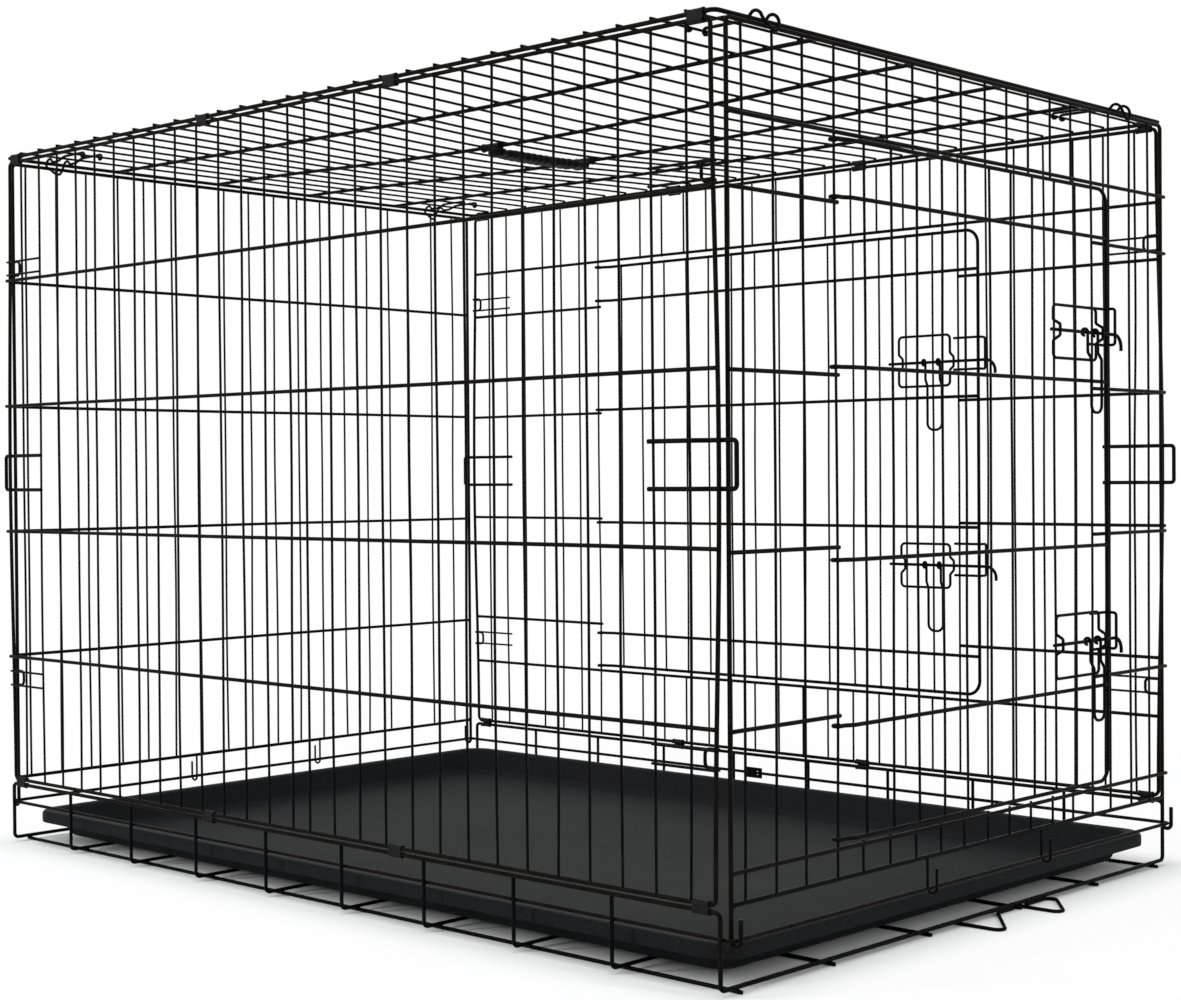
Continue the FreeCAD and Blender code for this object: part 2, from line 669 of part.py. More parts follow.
# ---------------------------------------------------------------- all pieces
def pieces():
    """Name and solids of every piece."""
    yield "floor_rim", floor_rim()
    yield "floor_ledge", [floor_ledge()]
    yield "floor_cross_wires", floor_legs() + floor_end_wires()
    yield "floor_runners", floor_runners()
    yield "floor_front_loops", floor_front_loops()
    yield "pan_stop", [pan_stop()]
    yield "pan", [pan()]
    for name, side in (("near", -1), ("far", 1)):
        yield name + "_border", [side_border(side)]
        yield name + "_braces", side_braces(side)
        yield name + "_c_loops", side_c_loops(side)
        yield name + "_stops", side_stops(side)
        yield name + "_bottom_clips", bottom_clips(side)
        yield name + "_top_clips", top_clips(side)
    yield "near_uprights", near_uprights()
    yield "near_rails", near_rails()
    yield "far_uprights", far_uprights()
    yield "far_rails", far_rails()
    yield "far_staples", [staple(SIDE_DOOR, latch) for latch in SIDE_LATCHES]
    yield "top_border", [top_border()]
    yield "top_cross_wires", top_cross_wires()
    yield "top_long_wires", top_long_wires()
    yield "handle_strap", [handle_strap()]
    yield "handle_grips", handle_grips()
    for name, end, hooks in (("front", 1, FRONT_HOOK_Y), ("rear", -1, REAR_HOOK_Y)):
        yield name + "_border", [end_border(end)]
        yield name + "_foot", [end_foot(end)]
        yield name + "_hooks", end_hooks(end, hooks)
    yield "front_uprights", front_uprights()
    yield "front_rails", front_rails()
    yield "front_staples", [staple(FRONT_DOOR, latch) for latch in FRONT_LATCHES]
    yield "rear_uprights", rear_uprights()
    yield "rear_rails", rear_rails()
    for name, door, latches in (("front", FRONT_DOOR, FRONT_LATCHES), ("side", SIDE_DOOR, SIDE_LATCHES)):
        yield name + "_door_frame", [door_frame(door)]
        yield name + "_door_rails", door_rails(door)
        yield name + "_door_uprights", door_uprights(door)
        yield name + "_door_keepers", [keeper(door, latch) for latch in latches]
        for level, latch in zip(("upper", "lower"), latches):
            yield name + "_" + level + "_bolt", [bolt(door, latch)]
            yield name + "_" + level + "_bolt_loop", [bolt_loop(door, latch)]
    yield "top_hook_front_near", [top_hook(1, -323.0, -301.0)]
    yield "top_hook_front_far", [top_hook(1, 269.6, 285.6)]
    yield "top_hook_rear_near", [top_hook(-1, -313.9, -290.6)]
    yield "top_hook_rear_far", [top_hook(-1, 288.4, 310.4)]


def main():
    os.makedirs("parts", exist_ok=True)
    for name, solids in pieces():
        save(name, solids)


main()
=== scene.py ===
"""Looks of a folding wire dog crate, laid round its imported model."""
import math
import random

import bmesh
import bpy
from bpy.props import FloatProperty, FloatVectorProperty, PointerProperty
from bpy.types import Operator, Panel, PropertyGroup
from mathutils import Matrix, Vector


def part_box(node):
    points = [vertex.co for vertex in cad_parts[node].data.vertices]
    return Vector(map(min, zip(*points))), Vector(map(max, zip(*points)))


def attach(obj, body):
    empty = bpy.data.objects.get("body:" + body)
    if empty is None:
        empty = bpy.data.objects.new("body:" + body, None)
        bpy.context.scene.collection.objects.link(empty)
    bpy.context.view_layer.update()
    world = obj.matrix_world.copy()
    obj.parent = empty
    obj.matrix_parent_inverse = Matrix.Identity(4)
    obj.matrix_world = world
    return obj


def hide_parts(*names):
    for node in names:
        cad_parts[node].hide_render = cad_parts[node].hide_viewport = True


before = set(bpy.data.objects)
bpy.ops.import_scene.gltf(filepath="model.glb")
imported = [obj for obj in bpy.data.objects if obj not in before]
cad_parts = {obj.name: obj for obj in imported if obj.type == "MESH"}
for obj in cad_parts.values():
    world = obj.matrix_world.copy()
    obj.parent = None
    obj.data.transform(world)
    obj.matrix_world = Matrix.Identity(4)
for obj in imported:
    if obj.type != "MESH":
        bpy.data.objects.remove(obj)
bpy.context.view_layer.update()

bl_info = {
    "name": "Wire dog crate",
    "version": (1, 0, 0),
    "blender": (4, 5, 0),
    "location": "View3D > Sidebar > Crate",
    "description": "Coated wires, folded clips, pan and handle of a folding dog crate",
    "category": "Object",
}

X_AXIS, Y_AXIS, Z_AXIS = 0, 1, 2

# Straight wires that are drawn again with a slight bow, by body
DRAWN_WIRES = {
    "near_side": ("near_uprights", "near_rails", "near_braces"),
    "far_side": ("far_uprights", "far_rails", "far_braces"),
    "top": ("top_cross_wires", "top_long_wires"),
    "front_end": ("front_uprights", "front_rails", "front_foot"),
    "rear_end": ("rear_uprights", "rear_rails", "rear_foot"),
    "front_door": ("front_door_uprights",),
    "side_door": ("side_door_uprights",),
    "floor": ("floor_runners",),
}
SAGGING = DRAWN_WIRES["top"]
LEG_TO_LEG = ("near_rails", "far_rails", "near_braces", "far_braces")
CLIP_NODES = ("near_bottom_clips", "near_top_clips", "far_bottom_clips", "far_top_clips")
TOP_HOOKS = tuple(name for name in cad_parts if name.startswith("top_hook"))
SLOT_OF = {name: node.data.materials[0].name.split(".")[0]
           for name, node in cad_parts.items()}

# Radii of the bent wires that carry welds
BORDER_RADIUS = 0.002
RAIL_RADIUS = 0.0019
LEG_RADIUS = 0.0018
KEEPER_RADIUS = 0.0015
UPRIGHT_RADIUS = 0.00125

BORDER_BEND = 0.006       # radius of the side borders' corners, at the middle of the wire
FULL_BOW_LENGTH = 0.7     # wires this long or longer bow by their full amount
SAG_STIFFNESS = 1.6       # above 1, the sagging wires leave the border nearly level
END_SLACK = 0.003         # a rail ending this near to a border's outside reaches to its leg
HOOK_SLACK = 0.008        # from a hook's inner end to the cross wire that it turns on
WELD_GAP = 0.0012         # wires further apart than this are not welded
WHITE = (1.0, 1.0, 1.0, 1.0)
SPECULAR = {"wire": 0.014, "clip": 0.05, "pan": 0.02, "handle": 0.04}


# ---- settings
def length_setting(name, description, default):
    return FloatProperty(name=name, description=description, default=default, min=0.0,
                         precision=5, subtype="DISTANCE", unit="LENGTH")


def colour_setting(name, description, default):
    return FloatVectorProperty(name=name, description=description, default=default,
                               min=0.0, max=1.0, size=3, subtype="COLOR")


def share_setting(name, description, default):
    return FloatProperty(name=name, description=description, default=default,
                         min=0.0, max=1.0, subtype="FACTOR")


def power_setting(name, description, default):
    return FloatProperty(name=name, description=description, default=default, min=0.0,
                         subtype="POWER", unit="POWER")


def angle_setting(name, description, degrees):
    return FloatProperty(name=name, description=description, default=math.radians(degrees),
                         subtype="ANGLE", unit="ROTATION")


class CrateWireSettings(PropertyGroup):
    upright_bow: length_setting("Upright bow", "How far a long upright strays", 0.0016)
    rail_bow: length_setting("Rail bow", "How far a rail strays from straight", 0.0006)
    ring_pitch: length_setting("Ring pitch", "Distance between the rings of a wire's mesh", 0.018)
    coat: colour_setting("Coat", "Black of the coated wires", (0.003, 0.003, 0.0036))
    warm_coat: colour_setting("Warm coat", "Browner black of rails", (0.0048, 0.004, 0.0036))
    latch_coat: colour_setting("Latch coat", "Black of bolts and hooks", (0.0026, 0.0026, 0.003))
    dust: colour_setting("Dust", "Dust on the upper side of the wires", (0.024, 0.022, 0.021))
    gloss: share_setting("Roughness", "Roughness of the satin coat", 0.22)
    hook_radius: length_setting("Hook wire", "Radius of the top hooks' wire", 0.0015)
    hook_eye: length_setting("Hook eye", "Radius of the eyes' middle line", 0.0029)
    sag: length_setting("Top sag", "How far the top hangs in its middle", 0.012)
    leg_bow: length_setting("Leg bow", "How far the side borders' upright ends bow outwards", 0.006)


class CrateClipSettings(PropertyGroup):
    sheet: length_setting("Sheet", "Thickness of the folded sheet", 0.0011)
    pinch: length_setting("Pinch", "How far the sheet is pinched in between its two wires", 0.0003)
    coat: colour_setting("Coat", "Coat on the sheet clips", (0.006, 0.0057, 0.006))
    worn: colour_setting("Worn edge", "Brown steel where the coat is thin", (0.055, 0.041, 0.033))


class CratePanSettings(PropertyGroup):
    sheet: length_setting("Sheet", "Thickness of the moulded sheet", 0.002)
    lip_drop: length_setting("Lip drop", "How far the outer lip turns down", 0.013)
    lip_round: length_setting("Lip rounding", "Rounding of the lip's upper edge", 0.0042)
    wall_inset: length_setting("Wall inset", "From the lip's outside to the wall's top", 0.016)
    wall_slope: length_setting("Wall slope", "How far the wall leans inwards", 0.009)
    cove: length_setting("Cove", "Rounding between wall and floor", 0.009)
    colour: colour_setting("Plastic", "Black plastic of the pan", (0.0036, 0.0042, 0.005))
    # Dust on the floor's middle; where it fades out towards the walls it is painted shade
    worn: colour_setting("Dusty floor", "Greyer middle of the pan's floor", (0.021, 0.0216, 0.0216))


class CrateHandleSettings(PropertyGroup):
    rib_pitch: length_setting("Rib pitch", "Distance between the ribs under the strap", 0.0095)
    rib_depth: length_setting("Rib depth", "Height of the ribs", 0.0007)
    plastic: colour_setting("Plastic", "Black plastic of the handle", (0.003, 0.003, 0.0034))


class CrateStageSettings(PropertyGroup):
    floor: colour_setting("Floor", "Pale studio floor", (0.86, 0.865, 0.87))
    key_power: power_setting("Key light", "Power of the soft key light", 60.0)
    fill_power: power_setting("Fill light", "Power of the fill light", 25.0)
    overhead_power: power_setting("Overhead light", "Power of the overhead softbox", 45.0)
    ambient: FloatProperty(name="Ambient", description="Strength of the even light from all round",
                           default=0.6, min=0.0)
    camera_place: FloatVectorProperty(name="Camera place", description="Where the camera stands",
                                      default=(1.55378, -1.62749, 0.42045), size=3,
                                      subtype="TRANSLATION", unit="LENGTH")
    camera_yaw: angle_setting("Camera yaw", "Heading of the view, from +X towards +Y", 133.23)
    camera_pitch: angle_setting("Camera pitch", "Tilt of the view above the horizon", -0.67)
    camera_roll: angle_setting("Camera roll", "Turn of the camera round its view", -0.41)
    focal_length: FloatProperty(name="Focal length", description="Lens for a 36 mm wide sensor",
                                default=61.575, min=1.0, subtype="DISTANCE_CAMERA")


# ---- reading the frame
def solids(node):
    """Lowest and highest corner of each separate solid of a node."""
    bm = bmesh.new()
    bm.from_mesh(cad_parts[node].data)
    bmesh.ops.remove_doubles(bm, verts=bm.verts, dist=1e-6)
    seen = set()
    found = []
    for first in bm.verts:
        if first in seen:
            continue
        seen.add(first)
        open_verts, points = [first], []
        while open_verts:
            vert = open_verts.pop()
            points.append(vert.co.copy())
            for edge in vert.link_edges:
                other = edge.other_vert(vert)
                if other not in seen:
                    seen.add(other)
                    open_verts.append(other)
        found.append([Vector([end(axis) for axis in zip(*points)]) for end in (min, max)])
    bm.free()
    return found


def clamped(share):
    return min(max(share, 0.0), 1.0)


def top_sag(point):
    """Share of the top's sag at a point: 1 in its middle and 0 along its border."""
    lo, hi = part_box("top_border")
    share = 1.0
    for axis in (X_AXIS, Y_AXIS):
        off_middle = (point[axis] - (lo[axis] + hi[axis]) / 2) / (hi[axis] - lo[axis])
        share *= max(0.0, math.cos(math.pi * off_middle)) ** SAG_STIFFNESS
    return share


def leg_bow(z):
    """How far the upright ends of the side borders stand out at a height."""
    lo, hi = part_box("near_border")
    share = clamped((z - lo.z) / (hi.z - lo.z))
    return bpy.context.scene.crate_wire.leg_bow * math.sin(math.pi * share) ** 2


class Wire:
    """Straight wire with the slight bow that bending jigs and handling leave in it."""

    def __init__(self, start, end, radius, bow=(0.0, 0.0, 0.0), rng=None, sag=0.0):
        self.start, self.end, self.radius = start, end, radius
        self.length = (end - start).length
        self.along = (end - start).normalized()
        long_wire = min(1.0, self.length / FULL_BOW_LENGTH) ** 1.5
        self.waves = []
        if rng:
            for waves_in_length in (1, 2, 3, 5):
                lean = [reach * long_wire * rng.uniform(-1, 1) / waves_in_length for reach in bow]
                self.waves.append((waves_in_length * math.pi, Vector(lean)))
        self.sag = sag
        self.leg = 0    # 1 or -1 for an upright end of a side border, which bows that way

    def at(self, share):
        """Point of the wire's middle line, from 0 at its start to 1 at its end."""
        point = self.start.lerp(self.end, share)
        if self.sag:
            point.z -= top_sag(point) * self.sag
        for turns, lean in self.waves:
            point = point + lean * math.sin(turns * share)
        if self.leg:
            point.x += self.leg * leg_bow(point.z)
        return point


def carries_hook(x):
    """Whether a cross wire of the top is one that hooks turn on."""
    boxes = [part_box(name) for name in TOP_HOOKS]
    return any(abs(x - (lo.x if lo.x > 0 else hi.x)) < HOOK_SLACK for lo, hi in boxes)


def rods(node, bow=(0.0, 0.0, 0.0)):
    """The straight wires of a node."""
    rng = random.Random(node)
    sag = bpy.context.scene.crate_wire.sag if node in SAGGING else 0.0
    found = []
    for lo, hi in solids(node):
        size = hi - lo
        along = max(range(3), key=lambda i: size[i])
        radius = min(size[i] for i in range(3) if i != along) / 2
        start = (lo + hi) / 2
        end = start.copy()
        start[along], end[along] = lo[along], hi[along]
        if node in LEG_TO_LEG:
            first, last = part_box("near_border")
            start.x -= leg_bow(start.z) if start.x < first.x + END_SLACK else 0.0
            end.x += leg_bow(end.z) if end.x > last.x - END_SLACK else 0.0
        straight = node == "top_cross_wires" and carries_hook(start.x)
        found.append(Wire(start, end, radius, (0.0, 0.0, 0.0) if straight else bow, rng, sag))
    return found


def sides(node, along, flat, plane=0.5, ends=(0, 1), radius=None):
    """Straight sides of the bent wires of a node that lie along one axis. The wires are flat
    across another axis, at the low (0) side of their box there, its middle or its high (1) side."""
    across = 3 - along - flat
    found = []
    for lo, hi in solids(node):
        r = radius or (hi[flat] - lo[flat]) / 2
        inner_lo, inner_hi = lo + Vector((r, r, r)), hi - Vector((r, r, r))
        for end in ends:
            start = inner_lo.copy()
            start[flat] = inner_lo[flat] + (inner_hi[flat] - inner_lo[flat]) * plane
            start[across] = (inner_lo, inner_hi)[end][across]
            stop = start.copy()
            stop[along] = inner_hi[along]
            found.append(Wire(start, stop, r))
    return found


# ---- mesh helpers
def add_ring(bm, centre, side, up, radius, count):
    ring = []
    for k in range(count):
        angle = 2 * math.pi * k / count
        ring.append(bm.verts.new(centre + (side * math.cos(angle) + up * math.sin(angle)) * radius))
    return ring


def join_rings(bm, first, second):
    count = len(first)
    for k in range(count):
        nxt = (k + 1) % count
        bm.faces.new((first[k], first[nxt], second[nxt], second[k]))


def add_skin(bm, rings, capped=True):
    """Skin through a row of rings; its two ends are closed where it is capped."""
    for first, second in zip(rings, rings[1:]):
        join_rings(bm, first, second)
    if capped:
        bm.faces.new(rings[0][::-1])
        bm.faces.new(rings[-1])


def square_axes(along):
    """Two directions square to a third."""
    helper = Vector((0, 0, 1)) if abs(along.z) < 0.9 else Vector((1, 0, 0))
    side = along.cross(helper).normalized()
    return side, along.cross(side).normalized()


def add_wire(bm, wire, pitch, count=10):
    """Round wire; the coating rounds over its two cut ends."""
    side, up = square_axes(wire.along)
    r = wire.radius
    steps = max(2, round(wire.length / pitch))
    shoulder = 0.5 * r / wire.length
    stations = [(0.0, 0.5), (0.14 * shoulder, 0.8), (0.5 * shoulder, 0.95), (shoulder, 1.0)]
    stations += [(k / steps, 1.0) for k in range(1, steps)]
    stations += [(1 - s, share) for s, share in stations[3::-1]]
    add_skin(bm, [add_ring(bm, wire.at(s), side, up, r * share, count) for s, share in stations])


def add_blob(bm, centre, axes, reach):
    """Squashed ball with its three half sizes along the given axes."""
    turn = Matrix([axis * half for axis, half in zip(axes, reach)]).transposed().to_4x4()
    turn.translation = centre
    bmesh.ops.create_icosphere(bm, subdivisions=2, radius=1.0, matrix=turn)


def place_object(name, data):
    obj = bpy.data.objects.new(name, data)
    bpy.context.scene.collection.objects.link(obj)
    return obj


def mesh_object(name, bm, finish):
    mesh = bpy.data.meshes.new(name)
    bm.to_mesh(mesh)
    bm.free()
    mesh.materials.append(finish)
    return place_object(name, mesh)


def piece(name, bm, body, slot, stands_for=(), finish=None):
    """Turns a mesh into a named piece that rides on a body, with its slot's finish if not given."""
    bmesh.ops.recalc_face_normals(bm, faces=bm.faces)
    obj = mesh_object(name, bm, finish or finish_for(slot, name))
    for face in obj.data.polygons:
        face.use_smooth = True
    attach(obj, body)
    if stands_for:
        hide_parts(*stands_for)
    return obj


# ---- finishes
class Nodes:
    """Node tree of a material or a world, with short calls for the nodes it uses."""

    def __init__(self, owner, shader="Principled BSDF", output="Material Output"):
        owner.use_nodes = True
        self.tree = owner.node_tree
        self.shader, self.output = self.tree.nodes[shader], self.tree.nodes[output]

    def put(self, node, socket, value):
        """Sets a socket to a number or a colour, or links it to another node's output."""
        if isinstance(value, bpy.types.NodeSocket):
            self.tree.links.new(value, node.inputs[socket])
        else:
            node.inputs[socket].default_value = value

    def node(self, kind, **sockets):
        made = self.tree.nodes.new(kind)
        for socket, value in sockets.items():
            self.put(made, socket.replace("_", " "), value)
        return made

    def maths(self, operation, first, second):
        made = self.tree.nodes.new("ShaderNodeMath")
        made.operation = operation
        self.put(made, 0, first)
        self.put(made, 1, second)
        return made.outputs["Value"]

    def white_to_lens(self, share=1.0):
        """Mixes the shader with plain white for the lens, reflections and clear parts."""
        rays = self.node("ShaderNodeLightPath").outputs
        amount = rays["Is Camera Ray"]
        for other in ("Is Glossy Ray", "Is Transmission Ray"):
            amount = self.maths("MAXIMUM", amount, rays[other])
        is_world = self.output.bl_idname == "ShaderNodeOutputWorld"
        kind = "ShaderNodeBackground" if is_world else "ShaderNodeEmission"
        white = self.node(kind, Color=WHITE, Strength=1.0)
        mix = self.node("ShaderNodeMixShader")
        self.put(mix, 0, self.maths("MULTIPLY", amount, share))
        self.put(mix, 1, self.shader.outputs[0])
        self.put(mix, 2, white.outputs[0])
        self.put(self.output, "Surface", mix.outputs[0])


class Finish(Nodes):
    """One procedural finish."""

    def __init__(self, name):
        self.material = bpy.data.materials.new(name)
        super().__init__(self.material)
        self.coords = self.node("ShaderNodeTexCoord")

    def noise(self, scale, detail=2.0, roughness=0.5, stretch=None):
        vector = self.coords.outputs["Object"]
        if stretch:
            mapping = self.node("ShaderNodeMapping", Vector=vector, Scale=stretch)
            vector = mapping.outputs["Vector"]
        made = self.node("ShaderNodeTexNoise", Vector=vector, Scale=scale, Detail=detail,
                         Roughness=roughness)
        return made.outputs["Fac"]

    def cells(self, scale):
        made = self.node("ShaderNodeTexVoronoi", Vector=self.coords.outputs["Object"], Scale=scale)
        return made.outputs["Distance"]

    def span(self, value, low, high, out_low=0.0, out_high=1.0):
        """Stretches a value's range from low..high to out_low..out_high, and clamps it."""
        made = self.tree.nodes.new("ShaderNodeMapRange")
        for index, number in enumerate((value, low, high, out_low, out_high)):
            self.put(made, index, number)
        return made.outputs["Result"]

    def blend(self, share, first, second):
        """Colour between two others."""
        made = self.tree.nodes.new("ShaderNodeMix")
        made.data_type = "RGBA"
        self.put(made, "Factor", share)
        for socket, colour in ((6, first), (7, second)):
            if not isinstance(colour, bpy.types.NodeSocket):
                colour = (*colour, 1.0)
            self.put(made, socket, colour)
        return made.outputs[2]

    def part_of(self, vector, axis):
        """One component of the surface's place or of its direction, both as at rest."""
        split = self.node("ShaderNodeSeparateXYZ", Vector=self.coords.outputs[vector])
        return split.outputs[axis]

    def off_middle(self, box, axis):
        """Distance along one axis from the middle of a box."""
        middle = (box[0][axis] + box[1][axis]) / 2
        away = self.maths("SUBTRACT", self.part_of("Object", axis), middle)
        return self.maths("ABSOLUTE", away, 0.0)

    def bump(self, height, depth, strength=1.0, under=None):
        made = self.node("ShaderNodeBump", Height=height, Distance=depth, Strength=strength)
        if under:
            self.put(made, "Normal", under)
        return made.outputs["Normal"]

    def surface(self, colour, roughness, normal, specular):
        self.put(self.shader, "Base Color", colour)
        self.put(self.shader, "Roughness", roughness)
        self.put(self.shader, "Normal", normal)
        self.shader.inputs["Specular IOR Level"].default_value = specular
        return self.material


def coated_wire(name, coat, dust, roughness):
    """Satin powder coat: fine orange peel, thin and thick patches, dust on the upper side."""
    f = Finish(name)
    patches = f.noise(45.0, 3.0)
    peel = f.noise(1100.0, 2.0)
    drag = f.noise(160.0, 3.0, 0.6)
    thin = tuple(channel * 1.6 + 0.0004 for channel in coat)
    colour = f.blend(f.span(patches, 0.4, 0.7), coat, thin)
    settled = f.maths("MULTIPLY", f.span(f.part_of("Normal", Z_AXIS), 0.35, 1.0, 0.0, 0.4),
                      f.span(drag, 0.35, 0.7))
    colour = f.blend(settled, colour, dust)
    rough = f.maths("ADD", f.span(drag, 0.3, 0.7, roughness - 0.06, roughness + 0.08),
                    f.maths("MULTIPLY", settled, 0.4))
    normal = f.bump(peel, 0.00008, 0.5, f.bump(patches, 0.0004, 0.3))
    return f.surface(colour, rough, normal, SPECULAR["wire"])


def folded_sheet(name, coat, worn):
    """Coated sheet steel, rubbed brown in patches."""
    f = Finish(name)
    patches = f.noise(260.0, 4.0, 0.6)
    fine = f.noise(1500.0, 2.0)
    rubbed = f.maths("MULTIPLY", f.span(patches, 0.5, 0.75, 0.0, 0.55), f.span(fine, 0.3, 0.6))
    colour = f.blend(rubbed, coat, worn)
    rough = f.span(patches, 0.3, 0.7, 0.42, 0.6)
    normal = f.bump(fine, 0.0001, 0.5, f.bump(patches, 0.0004, 0.5))
    return f.surface(colour, rough, normal, SPECULAR["clip"])


def pebbled_pan(name, settings):
    """Moulded plastic with a fine pebble grain; the flat floor is scuffed and dusty, and its
    lighter middle fades to the darker plastic towards the walls as painted shade.
    """
    f = Finish(name)
    lo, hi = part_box("pan")
    floor_z = lo.z + settings.sheet
    on_floor = f.span(f.part_of("Object", Z_AXIS), floor_z + 0.006, floor_z + 0.0005)
    clouds = f.noise(5.0, 5.0, 0.6)
    scuffs = f.noise(22.0, 6.0, 0.65, (0.4, 1.6, 1.0))
    grain = f.cells(620.0)
    specks = f.noise(110.0, 6.0, 0.9)
    shares = [f.span(clouds, 0.3, 0.65, 0.45, 1.0), f.span(scuffs, 0.25, 0.7, 0.7, 1.0),
              f.span(specks, 0.38, 0.62, 0.25, 1.1)]
    # Painted shade: the floor's dusty colour fades out towards the walls, which leaves them darker
    # as if shaded
    for axis, inner in ((X_AXIS, 0.55), (Y_AXIS, 0.5)):
        half = (hi[axis] - lo[axis]) / 2
        shares.append(f.span(f.off_middle((lo, hi), axis), half * inner, half * 0.97, 1.0, 0.0))
    worn = on_floor
    for share in shares:
        worn = f.maths("MULTIPLY", worn, share)
    colour = f.blend(worn, settings.colour, settings.worn)
    peaks = f.span(grain, 0.1, 0.6, 0.0, 0.25)
    colour = f.blend(peaks, colour, tuple(c * 1.8 for c in settings.worn))
    rough = f.maths("ADD", f.span(specks, 0.3, 0.7, 0.42, 0.52), f.maths("MULTIPLY", on_floor, 0.1))
    normal = f.bump(grain, 0.0004, 0.55, f.bump(clouds, 0.004, 0.25))
    return f.surface(colour, rough, normal, SPECULAR["pan"])


def moulded_handle(name, plastic):
    """Coarse-grained black plastic."""
    f = Finish(name)
    lumps = f.noise(330.0, 4.0, 0.65)
    grain = f.cells(900.0)
    colour = f.blend(f.span(lumps, 0.45, 0.75, 0.0, 0.5), plastic, tuple(c * 3 for c in plastic))
    rough = f.span(lumps, 0.3, 0.7, 0.4, 0.6)
    normal = f.bump(grain, 0.0003, 0.5, f.bump(lumps, 0.0012, 0.7))
    return f.surface(colour, rough, normal, SPECULAR["handle"])


def finish_for(slot, node=""):
    """The finish of a material slot, made once; rails, borders and floor wires are browner."""
    scene = bpy.context.scene
    wire, clip = scene.crate_wire, scene.crate_clips
    warm = slot == "wire" and any(word in node for word in ("rail", "border", "rim", "ledge"))
    name = "warm_wire_coat" if warm else slot + "_finish"
    found = bpy.data.materials.get(name)
    if found:
        return found
    if slot == "pan":
        return pebbled_pan(name, scene.crate_pan)
    if slot == "handle":
        return moulded_handle(name, scene.crate_handle.plastic)
    if slot == "clip":
        return folded_sheet(name, clip.coat, clip.worn)
    coat = wire.warm_coat if warm else wire.latch_coat if slot == "latch" else wire.coat
    return coated_wire(name, coat, wire.dust, wire.gloss)


# ---- wires
class CRATE_OT_coat_bent_wires(Operator):
    """Gives every bent wire of the frame its coat"""
    bl_idname = "crate.coat_bent_wires"
    bl_label = "Coat bent wires"

    def execute(self, context):
        for name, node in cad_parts.items():
            finish = finish_for(SLOT_OF[name], name)
            for place in node.material_slots:
                place.material = finish
        return {"FINISHED"}


def add_hoop(bm, path, radius, count=12):
    """Closed round wire along a path that is flat across Y."""
    across = Vector((0, 1, 0))
    rings = []
    for index, point in enumerate(path):
        along = (path[(index + 1) % len(path)] - path[index - 1]).normalized()
        rings.append(add_ring(bm, point, across, along.cross(across), radius, count))
    add_skin(bm, rings + rings[:1], capped=False)


class CRATE_OT_bow_side_borders(Operator):
    """Draws the borders of the side panels, whose upright ends bow outwards"""
    bl_idname = "crate.bow_side_borders"
    bl_label = "Bow side borders"

    def execute(self, context):
        for name in ("near", "far"):
            node = name + "_border"
            lo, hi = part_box(node)
            radius, y = (hi.y - lo.y) / 2, (lo.y + hi.y) / 2
            middle = (lo.x + hi.x) / 2
            flat = rounded_ring(lo.xz, hi.xz, radius, BORDER_BEND, 0.0, 60, 60)
            path = []
            for place in flat:
                out = math.copysign(leg_bow(place.y), place.x - middle)
                path.append(Vector((place.x + out, y, place.y)))
            bm = bmesh.new()
            add_hoop(bm, path, radius)
            piece(node + "_bowed", bm, name + "_side", "wire", (node,))
        return {"FINISHED"}


def bow_of(node, settings):
    """How far the straight wires of a node stray along x, y and z."""
    up, rail = settings.upright_bow, settings.rail_bow
    held = rail * 0.3
    if "cross_wires" in node:
        return (up * 0.6, 0.0, held)
    if "uprights" in node:
        across_x = node.startswith(("near", "far", "side"))
        return (up, held, 0.0) if across_x else (held, up, 0.0)
    if node.startswith(("near", "far")):
        return (0.0, held, rail)
    if node in ("top_long_wires", "floor_runners"):
        return (0.0, rail, 0.0)
    return (held, 0.0, rail)


class CRATE_OT_draw_straight_wires(Operator):
    """Draws the straight wires of every panel, slightly bowed and with rounded ends"""
    bl_idname = "crate.draw_straight_wires"
    bl_label = "Draw straight wires"

    def execute(self, context):
        settings = context.scene.crate_wire
        for body, nodes in DRAWN_WIRES.items():
            for node in nodes:
                bm = bmesh.new()
                for wire in rods(node, bow_of(node, settings)):
                    add_wire(bm, wire, settings.ring_pitch)
                piece(node + "_drawn", bm, body, SLOT_OF[node], (node,))
        return {"FINISHED"}


def crossing(first, second):
    """Where two wires touch: the two nearest middle points, or None."""
    gap = first.start - second.start
    d1, d2 = first.along, second.along
    slant = d1.dot(d2)
    if abs(slant) > 0.5 or min(first.length, second.length) < 0.001:
        return None
    a, b = d1.dot(gap), d2.dot(gap)
    square = 1 - slant * slant
    s = (slant * b - a) / square / first.length
    t = (b - slant * a) / square / second.length
    slack = 0.004
    for share, wire in ((s, first), (t, second)):
        if not (-slack / wire.length <= share <= 1 + slack / wire.length):
            return None
    there = second.at(clamped(t))
    here = first.at(clamped((there - first.start).dot(d1) / first.length))
    if (here - there).length > first.radius + second.radius + WELD_GAP:
        return None
    return here, there


def add_welds(bm, group, others):
    """Weld splash in the corners where the wires of one group lie across those of another."""
    for wire in group:
        for other in others:
            met = crossing(wire, other)
            if met is None:
                continue
            here, there = met
            small = min(wire.radius, other.radius)
            offset = there - here
            if offset.length > small:
                normal = offset.normalized()
                centre = here.lerp(there, wire.radius / (wire.radius + other.radius))
                flat = (other.radius * 1.12, wire.radius * 1.12, small * 0.62)
            else:
                nearest_end = min(wire.start, wire.end, key=lambda end: (here - end).length)
                inward = (wire.at(0.5) - nearest_end).normalized()
                normal = wire.along.cross(other.along).normalized()
                centre = there + inward * other.radius * 0.92
                flat = (small * 0.75, small * 1.5, small * 1.2)
            side = normal.cross(wire.along).normalized()
            add_blob(bm, centre, (wire.along, side, normal), flat)


